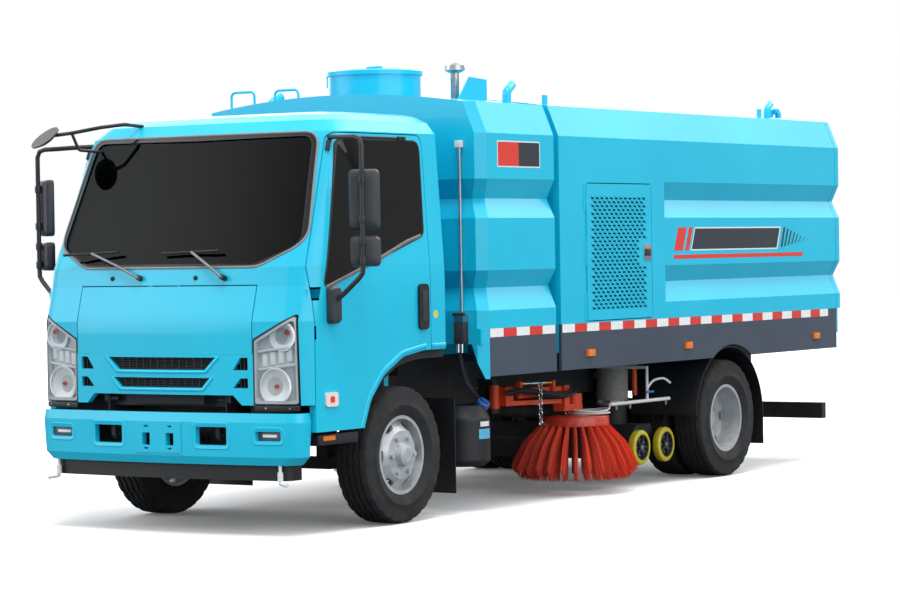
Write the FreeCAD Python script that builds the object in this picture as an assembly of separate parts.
"""Street sweeper truck: cab-over chassis with a water tank, a tipping waste body and sweeping gear.

Frame: +X is the vehicle's left, -Y is forward, +Z is up. The origin is on the ground under the
middle of the vehicle. Millimetres.
"""
import FreeCAD, Part
import math
import os

V = FreeCAD.Vector

# ---------------------------------------------------------------- driving dimensions
FRONT_OVERHANG = 1095.0        # bumper face to front axle
WHEELBASE = 3815.0
REAR_OVERHANG = 1690.0         # rear axle to tailgate face
FRONT_Y = -(FRONT_OVERHANG + WHEELBASE + REAR_OVERHANG) / 2
FRONT_AXLE_Y = FRONT_Y + FRONT_OVERHANG
REAR_AXLE_Y = FRONT_AXLE_Y + WHEELBASE
REAR_Y = REAR_AXLE_Y + REAR_OVERHANG

MOVING_GAP = 6.0               # between panels that move past each other
SEAT_GAP = 0.3                 # between pieces that rest on each other
RUN_GAP = 0.3                  # radial, at pins and spindles

# wheels and tyres
TYRE_R = 398.5
TYRE_W = 235.0
RIM_SEAT_R = 222.0
RIM_FLANGE_R = 232.0
RIM_HALF_W = 92.0
FRONT_TRACK_HALF = 830.0       # centre of front tyre
REAR_OUTER_X = 925.0           # centre of outer rear tyre
REAR_INNER_X = 662.0           # centre of inner rear tyre
KINGPIN_X = 700.0
STUB_R = 38.0

# chassis
RAIL_X = 395.0                 # middle of a rail
RAIL_W = 65.0
RAIL_Z0 = 610.0
RAIL_Z1 = 820.0
RAIL_T = 8.0
MEMBER_YS = [FRONT_AXLE_Y + at for at in (-960.0, 920.0, 1560.0, 2300.0, 2960.0, 4300.0, 5260.0)]
MEMBER_W = 60.0
SUB_MEMBERS = 5                # cross members of the body's sub-frame
SUBFRAME_Z1 = 930.0

# cab
CAB_HALF_W = 975.0
CAB_REAR = FRONT_AXLE_Y + 400.0
CAB_WALL = 45.0
CAB_FLOOR_Z = 1045.0
CAB_UNDER_Z = 1000.0           # underside of the cab floor
CAB_SILL_Z = 583.0
ROOF_SEAM_Z = 2262.0
ARCH_OPEN_Z = 760.0            # below this the wheel arch is open towards the frame
CAB_PIVOT_Y = FRONT_AXLE_Y - 985.0
CAB_PIN_R = 14.0
CAB_PIVOT_Z = 760.0
DOOR_FRONT_Y = FRONT_AXLE_Y - 895.0
DOOR_REAR_Y = FRONT_AXLE_Y + 245.0
DOOR_TOP_Z = 2250.0
DOOR_T = 42.0
DOOR_HINGE_X = CAB_HALF_W - 20.0
DOOR_HINGE_Y = DOOR_FRONT_Y + 75.0
DOOR_HINGE_ZS = (1135.0, 1350.0)
HOOK_H = 50.0
HOOK_R = 11.0
HOOK_PIN_R = 5.0
HOOK_SWEEP = 84.0
ARCH_INNER_X = 560.0
GLASS_T = 6.0

BUMPER_T = 36.0

# plate holder and tow eyes
PLATE_X = 85.0
PLATE_ROWS_Z = (487.0, 612.0)
PLATE_SLOT_R = 5.0
PLATE_SLOT_L = 30.0
TOW_EYE_R = 16.0
TOW_EYE_T = 28.0
TOW_EYE_Z = 563.0
TOW_EYE_Y = FRONT_AXLE_Y - 990.0

# water tank and waste body
BODY_HALF_W = 1075.0
BODY_BASE_Z = 1107.0           # top of the grey skirt
EAVE_Z = 2466.0
EAVE_HALF_W = BODY_HALF_W - 79.0
SHOULDER_DROP = 191.0          # from the eave down to the shoulder
SHOULDER_Z = EAVE_Z - SHOULDER_DROP
CROWN_RISE = 74.0              # from the eave up to the middle of the arched top
CROWN_Z = EAVE_Z + CROWN_RISE
HOOK_X = EAVE_HALF_W - 116.0
HATCH_SEAT_Z = CROWN_Z + 132.0
HATCH_R = 290.0
HATCH_Y = FRONT_AXLE_Y + 1120.0
VENT_TOP_Z = CROWN_Z + 212.0
TAILGATE_PIVOT_Z = CROWN_Z + 22.0
MUDGUARD_R = 483.0
MUDGUARD_T = 8.0
GROOVE_DEPTH = 56.0
GROOVES = (                    # low edge, vertex, high edge
    (BODY_BASE_Z + 108.0, BODY_BASE_Z + 243.0, BODY_BASE_Z + 347.0),
    (SHOULDER_Z - 508.0, SHOULDER_Z - 390.0, SHOULDER_Z - 273.0),
)
SKIRT_Z0 = 820.0
SKIRT_T = 20.0
TANK_Y0 = FRONT_AXLE_Y + 673.0
TANK_Y1 = FRONT_AXLE_Y + 1495.0
TANK_CORNER = 54.0
TANK_BELLY_Z = 1015.0
BIN_Y0 = FRONT_AXLE_Y + 1555.0
BIN_GROOVE_Y = FRONT_AXLE_Y + 2888.0
TAILGATE_T = 60.0
BIN_WALL = 40.0
BIN_FLOOR_T = 40.0
BIN_PIVOT_Y = REAR_Y - 150.0
BIN_PIVOT_Z = 880.0
BIN_PIN_R = 20.0
BULKHEAD_Y = FRONT_AXLE_Y + 2850.0

# access doors in the flat sides of the waste body
ACCESS_Y0 = FRONT_AXLE_Y + 1884.0
ACCESS_Y1 = FRONT_AXLE_Y + 2710.0
ACCESS_Z0 = 1120.0
ACCESS_Z1 = SHOULDER_Z - 292.0
ACCESS_T = 25.0
ACCESS_HINGE_X = BODY_HALF_W + 6.3
ACCESS_HINGE_Y = ACCESS_Y0 - 3.0
SLOT_ROWS = 12
SLOT_COLUMNS = 6
SLOT_H = 26.0
SLOT_FIELD = (
    ACCESS_Y0 + 48.0, ACCESS_Y1 - 65.0, ACCESS_Z0 + 62.0, ACCESS_Z1 - 80.0,
)   # y low, y high, z low, z high

# sweeping gear
BRUSH_X = 735.0
BRUSH_Y = FRONT_AXLE_Y + 2262.0
BRUSH_RING_R = 225.0
BRUSH_RING_Z = (425.0, 500.0)
BRUSH_TIP_R = 425.0
BRUSH_TIP_Z = 85.0
BRUSH_TUFTS = 24
ARM_PIVOT_X = 520.0
ARM_PIVOT_Y = FRONT_AXLE_Y + 1640.0
ARM_PIN_R = 18.0
CASTER_R = 115.0
CASTER_X = 880.0
CASTER_ZC = 255.0
CASTER_YS = (FRONT_AXLE_Y + 2850.0, FRONT_AXLE_Y + 3180.0)
SLEEVE_R = 105.0
SLEEVE_X = 560.0
SLEEVE_Y = FRONT_AXLE_Y + 3060.0


# ---------------------------------------------------------------- drawing helpers
def box(x, y, z):
    """A block between (low, high) pairs along each axis."""
    return Part.makeBox(x[1] - x[0], y[1] - y[0], z[1] - z[0], V(x[0], y[0], z[0]))


def rod(radius, start, end):
    """A round bar from start to end."""
    start, end = V(*start), V(*end)
    return Part.makeCylinder(radius, (end - start).Length, start, end - start)


def mirrored(shape):
    """The same piece on the other side of the vehicle."""
    return shape.mirror(V(0, 0, 0), V(1, 0, 0))


def fuse(*shapes):
    """One solid out of pieces that touch."""
    return shapes[0].fuse(list(shapes[1:])).removeSplitter()


def place_yz(u, v):
    """A point of a side view."""
    return V(0, u, v)


def place_xz(u, v):
    """A point of a front view."""
    return V(u, 0, v)


def place_xy(u, v):
    """A point of a plan."""
    return V(u, v, 0)


def outline(points, place):
    """A closed wire. Each point is (u, v) or (u, v, corner radius)."""
    count = len(points)
    edges = []
    ends = []
    for i, point in enumerate(points):
        corner = place(point[0], point[1])
        radius = point[2] if len(point) > 2 else 0.0
        back = place(*points[i - 1][:2]) - corner
        ahead = place(*points[(i + 1) % count][:2]) - corner
        if radius <= 0:
            ends.append((corner, corner))
            continue
        back.normalize()
        ahead.normalize()
        half = back.getAngle(ahead) / 2
        reach = radius / math.tan(half)
        start = corner + back * reach
        end = corner + ahead * reach
        bisector = back + ahead
        bisector.normalize()
        middle = corner + bisector * (radius / math.sin(half) - radius)
        ends.append((start, end))
        edges.append(Part.Arc(start, middle, end).toShape())
    for i in range(count):
        start = ends[i - 1][1]
        end = ends[i][0]
        if (end - start).Length > 1e-6:
            edges.append(Part.LineSegment(start, end).toShape())
    return Part.Wire(Part.__sortEdges__(edges))


def prism_x(points, x):
    """A side-view outline drawn out along x."""
    face = Part.Face(outline(points, place_yz))
    face.translate(V(x[0], 0, 0))
    return face.extrude(V(x[1] - x[0], 0, 0))


def prism_y(points, y):
    """A front-view outline drawn out along y."""
    face = Part.Face(outline(points, place_xz))
    face.translate(V(0, y[0], 0))
    return face.extrude(V(0, y[1] - y[0], 0))


def prism_z(points, z):
    """A plan outline drawn out along z."""
    face = Part.Face(outline(points, place_xy))
    face.translate(V(0, 0, z[0]))
    return face.extrude(V(0, 0, z[1] - z[0]))


def turned_x(profile, centre_y, centre_z):
    """A solid turned about an axis along X. The profile is (x, radius[, corner radius]) points."""
    face = Part.Face(outline(profile, place_xz))
    solid = face.revolve(V(0, 0, 0), V(1, 0, 0), 360)
    solid.translate(V(0, centre_y, centre_z))
    return solid


def turned_z(profile, centre_x, centre_y):
    """An (r, z) profile turned about an upright axis."""
    face = Part.Face(outline(profile, place_xz))
    solid = face.revolve(V(0, 0, 0), V(0, 0, 1), 360)
    solid.translate(V(centre_x, centre_y, 0))
    return solid


def tube(points, radius, bend):
    """A round bar along straight runs joined by tangent arcs."""
    points = [V(*p) for p in points]
    edges = []
    start = points[0]
    for i in range(1, len(points) - 1):
        back = points[i - 1] - points[i]
        ahead = points[i + 1] - points[i]
        room = 0.48 * min(back.Length, ahead.Length)
        back.normalize()
        ahead.normalize()
        half = back.getAngle(ahead) / 2
        arc_radius = min(bend, room * math.tan(half))
        reach = arc_radius / math.tan(half)
        bisector = back + ahead
        bisector.normalize()
        first = points[i] + back * reach
        last = points[i] + ahead * reach
        middle = points[i] + bisector * (arc_radius / math.sin(half) - arc_radius)
        edges.append(Part.LineSegment(start, first).toShape())
        edges.append(Part.Arc(first, middle, last).toShape())
        start = last
    edges.append(Part.LineSegment(start, points[-1]).toShape())
    path = Part.Wire(edges)
    circle = Part.Wire(Part.makeCircle(radius, points[0], points[1] - points[0]))
    return path.makePipeShell([circle], True, False)


def both_sides(shape):
    """The piece and its mirror image."""
    return [shape, mirrored(shape)]


NODES = {}


def save(name, *shapes):
    """Keep a node: one solid, or like solids that don't touch."""
    solids = []
    for shape in shapes:
        solids.extend(shape.Solids)
    NODES[name] = solids[0] if len(solids) == 1 else Part.makeCompound(solids)


# ---------------------------------------------------------------- wheels
def tyre(centre_x):
    """Truck tyre: bead, round shoulder and flat tread, turned about the axle."""
    half = TYRE_W / 2
    bead = RIM_SEAT_R + SEAT_GAP
    rest = RIM_HALF_W - 8 - SEAT_GAP
    profile = [
        (-rest, bead), (-rest, RIM_FLANGE_R + SEAT_GAP), (
            -half, (TYRE_R + bead) / 2 + 12, 70.0,
        ), (-half * 0.86, TYRE_R, 24.0),
        (half * 0.86, TYRE_R, 24.0), (
            half, (TYRE_R + bead) / 2 + 12, 70.0,
        ), (rest, RIM_FLANGE_R + SEAT_GAP), (rest, bead),
    ]
    return [(centre_x + p[0],) + p[1:] for p in profile]


def rim_barrel(centre_x):
    """Steel rim barrel with its two flanges, as a profile turned about the axle."""
    w = RIM_HALF_W
    thickness = 12.0
    return [
        (centre_x - w, RIM_FLANGE_R), (centre_x - w, RIM_SEAT_R - thickness),
        (centre_x + w, RIM_SEAT_R - thickness), (centre_x + w, RIM_FLANGE_R),
        (centre_x + w - 8, RIM_FLANGE_R), (centre_x + w - 8, RIM_SEAT_R),
        (centre_x - w + 8, RIM_SEAT_R), (centre_x - w + 8, RIM_FLANGE_R),
    ]


def hand_holes(centre_y, centre_z, radius, x, length, height):
    """Six oval hand holes through a wheel disc."""
    holes = []
    for i in range(6):
        middle = (length - height) / 2
        slot = [(-length / 2, radius - height / 2, height / 2 - 0.01),
            (-length / 2, radius + height / 2, height / 2 - 0.01),
                (length / 2, radius + height / 2, height / 2 - 0.01),
                (length / 2, radius - height / 2, height / 2 - 0.01)]
        hole = prism_x(slot, x)
        hole.rotate(V(0, 0, 0), V(1, 0, 0), 60.0 * i + 30.0)
        hole.translate(V(0, centre_y, centre_z))
        holes.append(hole)
    return holes


def wheel_nuts(centre_y, centre_z, x, circle_r, nut_r, count):
    """The ring of nuts that holds a wheel to its hub."""
    nuts = []
    for i in range(count):
        angle = math.radians(360.0 / count * i)
        y = centre_y + circle_r * math.cos(angle)
        z = centre_z + circle_r * math.sin(angle)
        nuts.append(rod(nut_r, (x[0], y, z), (x[1], y, z)))
    return nuts


def front_wheels():
    """Single front wheels: outward disc with hand holes, hub and cap."""
    c = FRONT_TRACK_HALF
    y, z = FRONT_AXLE_Y, TYRE_R
    rubber = turned_x(tyre(c), y, z)
    barrel = turned_x(rim_barrel(c), y, z)
    seat = RIM_SEAT_R - 12.0
    disc = turned_x([
        (c + 20, seat), (c + 34, seat), (c + 78, 158.0), (c + 92, 140.0), (c + 92, 70.0), (c + 128, 62.0),
        (c + 134, 40.0), (c + 134, 0), (c + 60, 0), (c + 60, STUB_R + RUN_GAP), (c - 44, STUB_R + RUN_GAP),
        (c - 44, 150.0), (c + 10, 150.0), (c + 10, 80.0), (c + 78, 80.0), (c + 78, 138.0), (c + 66, 154.0),
    ], y, z)
    disc = disc.cut(hand_holes(y, z, 182.0, (c, c + 120), 84.0, 40.0))
    rim = fuse(barrel, disc, *wheel_nuts(y, z, (c + 91, c + 112), 111.0, 15.0, 6))
    save("tyre_front_left", rubber)
    save("tyre_front_right", mirrored(rubber))
    save("rim_front_left", rim)
    save("rim_front_right", mirrored(rim))


def rear_wheels():
    """Twin rear wheels: two dished discs bolted back to back on one hub."""
    y, z = REAR_AXLE_Y, TYRE_R
    outer, inner = REAR_OUTER_X, REAR_INNER_X
    middle = (outer + inner) / 2
    seat = RIM_SEAT_R - 12.0
    tyres = [turned_x(tyre(outer), y, z), turned_x(tyre(inner), y, z)]
    barrels = [turned_x(rim_barrel(outer), y, z), turned_x(rim_barrel(inner), y, z)]
    disc = turned_x([
        (outer - 50, seat), (outer - 64, seat), (middle + 12, 160.0), (middle, 150.0), (middle, 90.0), (middle + 12, 90.0),
        (middle + 12, 140.0), (outer - 52, 172.0),
    ], y, z)
    disc = disc.cut(hand_holes(y, z, 186.0, (middle, outer), 70.0, 34.0))
    twin = disc.mirror(V(middle, 0, 0), V(1, 0, 0))
    hub = turned_x([
        (middle - 12, 150.0), (middle + 12, 130.0), (middle + 12, 105.0), (middle + 60, 100.0), (middle + 66, 70.0),
        (middle + 100, 66.0), (middle + 104, 0), (middle + 70, 0), (middle + 70, STUB_R + RUN_GAP),
        (inner - 100, STUB_R + RUN_GAP), (inner - 100, 165.0), (inner + 20, 165.0), (inner + 20, 100.0), (middle - 12, 100.0),
    ], y, z)
    rim = fuse(
        barrels[0], disc, hub, twin, barrels[1],
        *wheel_nuts(y, z, (middle + 8, middle + 36), 118.0, 15.0, 6),
    )
    save("tyres_rear_left", *tyres)
    save("tyres_rear_right", *[mirrored(t) for t in tyres])
    save("rims_rear_left", rim)
    save("rims_rear_right", mirrored(rim))


# ---------------------------------------------------------------- axles, chassis and drive
KNUCKLE_BOSS_R = 42.0
KNUCKLE_BOSS_H = 55.0          # half height of the axle's kingpin boss
KINGPIN_R = 20.0


def front_axle():
    """Forged beam with a kingpin boss at each end, and the two knuckles on them."""
    y, z = FRONT_AXLE_Y, TYRE_R
    beam = prism_y([(-KINGPIN_X, z + 30), (-KINGPIN_X, z - 30), (-560, z - 40), (-430, z - 95),
        (430, z - 95), (560, z - 40),
                    (KINGPIN_X, z - 30), (KINGPIN_X, z + 30), (560, z + 20), (430, z - 25), (-430, z - 25),
                    (-560, z + 20)],
                   (y - 35, y + 35))
    bosses = [
        rod(KNUCKLE_BOSS_R, (s * KINGPIN_X, y, z - KNUCKLE_BOSS_H), (s * KINGPIN_X, y, z + KNUCKLE_BOSS_H))
        for s in (-1, 1)
    ]
    bores = [
        rod(KINGPIN_R + RUN_GAP, (s * KINGPIN_X, y, z - 80), (s * KINGPIN_X, y, z + 80)) for s in (-1, 1)
    ]
    pads = [box((s * RAIL_X - 40, s * RAIL_X + 40), (y - 60, y + 60), (z - 30, z + 40)) for s in (-1, 1)]
    save("front_axle", fuse(beam, *bosses, *pads).cut(bores))

    ear_low = KNUCKLE_BOSS_H + SEAT_GAP
    ear_high = ear_low + 28
    web_x = KINGPIN_X + KNUCKLE_BOSS_R + 8
    ears = [box((KINGPIN_X, web_x + 26), (y - 38, y + 38), (z + ear_low, z + ear_high)),
            box((KINGPIN_X, web_x + 26), (y - 38, y + 38), (z - ear_high, z - ear_low)),
            rod(38, (KINGPIN_X, y, z + ear_low), (KINGPIN_X, y, z + ear_high)),
            rod(38, (KINGPIN_X, y, z - ear_high), (KINGPIN_X, y, z - ear_low))]
    web = box((web_x, web_x + 26), (y - 38, y + 38), (z - ear_high, z + ear_high))
    pin = rod(KINGPIN_R, (KINGPIN_X, y, z - ear_high), (KINGPIN_X, y, z + ear_high))
    stub = rod(STUB_R, (web_x + 20, y, z), (FRONT_TRACK_HALF + 60 - SEAT_GAP, y, z))
    arm = box((KINGPIN_X - 20, KINGPIN_X + 20), (y + 30, y + 190), (z - ear_high, z - ear_low - 4))
    knuckle = fuse(web, *ears, pin, stub, arm)
    save("knuckle_left", knuckle)
    save("knuckle_right", mirrored(knuckle))


def rear_axle():
    """Banjo axle: tubes, round differential housing and the stubs that carry the hubs."""
    y, z = REAR_AXLE_Y, TYRE_R
    hub_inner = REAR_INNER_X - 100
    stub_end = (REAR_OUTER_X + REAR_INNER_X) / 2 + 70 - SEAT_GAP
    tube_x = hub_inner - SEAT_GAP
    bar = turned_x([(-stub_end, 0), (-stub_end, STUB_R), (-tube_x, STUB_R), (-tube_x, 62), (-170, 62),
        (-110, 175), (110, 175),
                    (170, 62), (tube_x, 62), (tube_x, STUB_R), (stub_end, STUB_R), (stub_end, 0)], y, z)
    nose = rod(70, (0, y, z), (0, y - 250, z + 25))
    pads = [box((s * RAIL_X - 40, s * RAIL_X + 40), (y - 70, y + 70), (z - 70, z + 75)) for s in (-1, 1)]
    save("rear_axle", fuse(bar, nose, *pads))


def leaf_pack(axle_y, pad_z, half_length, thickness):
    """A leaf spring bowed down to its axle pad, with an eye at each end below the rail."""
    eye_z = RAIL_Z0 - 45
    low = pad_z + SEAT_GAP
    pack = []
    for i in range(3):
        reach = half_length * (1.0 - 0.22 * (2 - i))
        base = low + i * thickness / 3
        rise = (eye_z - 20 - low) * (reach / half_length) ** 2
        lower = Part.Arc(
            V(0, axle_y - reach, base + rise), V(0, axle_y, base), V(0, axle_y + reach, base + rise),
        ).toShape()
        upper = lower.copy()
        upper.translate(V(0, 0, thickness / 3))
        ends = [
            Part.LineSegment(lower.Vertexes[i2].Point, upper.Vertexes[i2].Point).toShape()
            for i2 in (0, 1)
        ]
        pack.append(Part.Face(Part.Wire(Part.__sortEdges__([lower, upper] + ends))))
    solids = [f.extrude(V(60, 0, 0)) for f in pack]
    eyes = [
        rod(28, (0, axle_y + s * half_length, eye_z), (60, axle_y + s * half_length, eye_z))
        for s in (-1, 1)
    ]
    hangers = [box((0, 60), (axle_y + s * half_length - 30, axle_y + s * half_length + 30), (eye_z, RAIL_Z0 - SEAT_GAP))
               for s in (-1, 1)]
    spring = fuse(*solids, *eyes, *hangers)
    spring.translate(V(RAIL_X - 30, 0, 0))
    return spring


def chassis():
    """Ladder frame: channel rails that carry the body's sub-frame, and cross members between them."""
    y0, y1 = FRONT_Y + 90, BIN_PIVOT_Y - 20
    x0, x1 = RAIL_X - RAIL_W / 2, RAIL_X + RAIL_W / 2
    rail = box((x0, x1), (y0, y1), (RAIL_Z0, RAIL_Z1))
    hollow = box((x0 - 1, x1 - RAIL_T), (y0 - 1, y1 + 1), (RAIL_Z0 + RAIL_T, RAIL_Z1 - RAIL_T))
    cab_rest = box((x0, x1), (f(320), f(380)), (RAIL_Z1 - 1, CAB_UNDER_Z - SEAT_GAP))
    px, py = ARM_PIVOT_X, ARM_PIVOT_Y
    arm_bracket = fuse(
        box((x1 - 1, px + 10), (py - 40, py + 40), (720, 760)),
        box((x1 - 1, px - 66), (py - 40, py + 40), (540, 760)),
        box((x1 - 1, px + 10), (py - 40, py + 40), (540, 570)),
        rod(ARM_PIN_R, (px, py, 545), (px, py, 750)))
    tow_eye = prism_x([
        (TOW_EYE_Y - 38, TOW_EYE_Z - 38, 37.0), (TOW_EYE_Y - 38, RAIL_Z0 + 20),
        (TOW_EYE_Y + 60, RAIL_Z0 + 20), (TOW_EYE_Y + 38, TOW_EYE_Z - 38, 37.0),
    ], (x0, x0 + TOW_EYE_T))
    tow_hole = rod(TOW_EYE_R, (x0 - 5, TOW_EYE_Y, TOW_EYE_Z), (x0 + TOW_EYE_T + 5, TOW_EYE_Y, TOW_EYE_Z))
    sub_y0, sub_y1 = TANK_Y0 + 20, BIN_PIVOT_Y
    sub_rail = box((x0, x1), (sub_y0, sub_y1), (RAIL_Z1 - 1, SUBFRAME_Z1))
    tip_boss = rod(45, (x0, BIN_PIVOT_Y, BIN_PIVOT_Z), (x1, BIN_PIVOT_Y, BIN_PIVOT_Z))
    bores = [
        rod(CAB_PIN_R + RUN_GAP, (x0 - 5, CAB_PIVOT_Y, CAB_PIVOT_Z), (x1 + 5, CAB_PIVOT_Y, CAB_PIVOT_Z)),
        rod(BIN_PIN_R + RUN_GAP, (x0 - 5, BIN_PIVOT_Y, BIN_PIVOT_Z), (x1 + 5, BIN_PIVOT_Y, BIN_PIVOT_Z)),
    ]
    side = fuse(
        rail.cut(hollow), tow_eye.cut(tow_hole), cab_rest, arm_bracket, sub_rail, tip_boss,
    ).cut(bores)
    save("frame_rails", *both_sides(side))

    web = x1 - RAIL_T - SEAT_GAP
    cap = RAIL_Z1 - RAIL_T - SEAT_GAP
    members = [box((-web, web), (at, at + MEMBER_W), (RAIL_Z1 - 100, cap)) for at in MEMBER_YS]
    inner = x0 - SEAT_GAP
    pitch = (sub_y1 - sub_y0 - MEMBER_W) / (SUB_MEMBERS - 1)
    for i in range(SUB_MEMBERS):
        at = sub_y0 + pitch * i
        members.append(box((-inner, inner), (at, at + MEMBER_W), (RAIL_Z1 + 20, SUBFRAME_Z1 - 20)))
    save("cross_members", *members)

    save("leaf_springs", *both_sides(leaf_pack(FRONT_AXLE_Y, TYRE_R + 40, 560, 45)),
         *both_sides(leaf_pack(REAR_AXLE_Y, TYRE_R + 75, 640, 54)))

    block = box((-260, 260), (FRONT_AXLE_Y - 560, FRONT_AXLE_Y + 330), (520, 960))
    gearbox = rod(130, (0, FRONT_AXLE_Y + 330, 660), (0, FRONT_AXLE_Y + 860, 640))
    shaft = rod(45, (0, FRONT_AXLE_Y + 850, 640), (0, REAR_AXLE_Y - 258, TYRE_R + 25)).cut(
        rod(70, (0, REAR_AXLE_Y, TYRE_R), (0, REAR_AXLE_Y - 250, TYRE_R + 25)))
    radiator = box((-330, 330), (FRONT_AXLE_Y - 800, FRONT_AXLE_Y - 720), (560, 985))
    web_x = x1 - RAIL_T - SEAT_GAP
    feet = box((-web_x, web_x), (FRONT_AXLE_Y - 250, FRONT_AXLE_Y - 180), (RAIL_Z0 + 12, RAIL_Z0 + 62))
    ears = box((-web_x, web_x), (FRONT_AXLE_Y - 780, FRONT_AXLE_Y - 740), (640, 700))
    save("drive_line", fuse(block, gearbox, shaft, feet), fuse(radiator, ears))


# ---------------------------------------------------------------- cab
def plan(z, nose, half_w, corner_r, bow_r, rear, inset=0.0):
    """Cab section at one height: bowed front, rounded front corners, straight sides and back."""
    nose = nose + inset
    half_w = half_w - inset
    corner_r = max(corner_r - inset, 30.0)
    bow_r = bow_r - inset
    rear = rear - inset
    bow_centre = nose + bow_r
    corner_x = half_w - corner_r
    corner_y = bow_centre - math.sqrt((bow_r - corner_r) ** 2 - corner_x ** 2)
    towards = V(corner_x, corner_y - bow_centre, 0)
    towards.normalize()
    join = V(0, bow_centre, z) + towards * bow_r
    side = V(half_w, corner_y, z)
    middle = towards + V(1, 0, 0)
    middle.normalize()
    middle = V(corner_x, corner_y, z) + middle * corner_r

    def flip(p):
        return V(-p.x, p.y, p.z)

    back = V(half_w, rear, z)
    edges = [
        Part.Arc(flip(join), V(0, nose, z), join).toShape(),
        Part.Arc(join, middle, side).toShape(),
        Part.LineSegment(side, back).toShape(),
        Part.LineSegment(back, flip(back)).toShape(),
        Part.LineSegment(flip(back), flip(side)).toShape(),
        Part.Arc(flip(side), flip(middle), flip(join)).toShape(),
    ]
    return Part.Wire(edges)


# z, nose from the front axle, half width, corner radius, bow radius
CAB_SECTIONS = (
    (CAB_SILL_Z, -1062.0, CAB_HALF_W - 3, 170.0, 6500.0),
    (1200.0, -1062.0, CAB_HALF_W, 170.0, 6500.0),
    (1396.0, -1008.0, CAB_HALF_W, 170.0, 6500.0),
    (1503.0, -990.0, CAB_HALF_W - 3, 175.0, 6500.0),
    (2262.0, -664.0, 922.0, 180.0, 6500.0),
    (2330.0, -590.0, 865.0, 180.0, 6500.0),
    (2367.0, -500.0, 780.0, 180.0, 6500.0),
    (2385.0, -380.0, 690.0, 180.0, 6500.0),
)


def cab_form(inset=0.0):
    """The cab's outer form, or the form that lies inset inside it."""
    wires = []
    for z, nose, half_w, corner_r, bow_r in CAB_SECTIONS:
        at = z - inset * (1.0 if z > 2350 else 0.0)
        wires.append(plan(at, FRONT_AXLE_Y + nose, half_w, corner_r, bow_r, CAB_REAR, inset))
    return Part.makeLoft(wires, True, True)


def f(y):
    """A place along the vehicle, from the front axle."""
    return FRONT_AXLE_Y + y


ARCH = [
    (f(-440), CAB_SILL_Z - 60), (f(-440), 590, 60.0), (f(-375), 737, 200.0), (f(-240), 873, 160.0),
    (f(-45), 970, 200.0), (f(175), 1000, 300.0), (CAB_REAR + 60, 1000), (CAB_REAR + 60, CAB_SILL_Z - 60),
]
DOOR = [(DOOR_FRONT_Y, CAB_SILL_Z - 20), (DOOR_FRONT_Y, 1500), (f(-590), DOOR_TOP_Z, 60.0),
        (DOOR_REAR_Y, DOOR_TOP_Z, 60.0), (DOOR_REAR_Y, CAB_SILL_Z - 20)]
WINDOW = [(f(-790), 1418, 45.0), (f(-556), 2205, 50.0), (f(205), 2205, 60.0), (f(190), 1690, 50.0)]
WINDSCREEN_FOOT = 608.0        # half widths of the opening at its foot, waist and head
WINDSCREEN_WAIST = 868.0
WINDSCREEN_HEAD = 788.0
WINDSCREEN = [                 # x, z, corner radius
    (-WINDSCREEN_FOOT, 1516, 160.0), (WINDSCREEN_FOOT, 1516, 160.0),
    (WINDSCREEN_WAIST, 1630, 90.0), (WINDSCREEN_HEAD, 2238, 70.0),
    (-WINDSCREEN_HEAD, 2238, 70.0), (-WINDSCREEN_WAIST, 1630, 90.0),
]
FLAP = (628.0, 1017.0, 1399.0)      # half width, low z, high z
LAMP = [(634, 735), (634, 1104, 12.0), (CAB_HALF_W - 67, 1247, 12.0), (CAB_HALF_W - 60, 735)]
FLAP_T = 25.0
FLAP_HINGE_X = 100.0
FLAP_PIVOT_Y = f(-1002)
FLAP_PIVOT_Z = 1394.0


def grown(points, by):
    """The outline moved out by a margin, kept sharp, as a face in the YZ plane."""
    face = Part.Face(outline(points, place_yz))
    return face.makeOffset2D(by)


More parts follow.
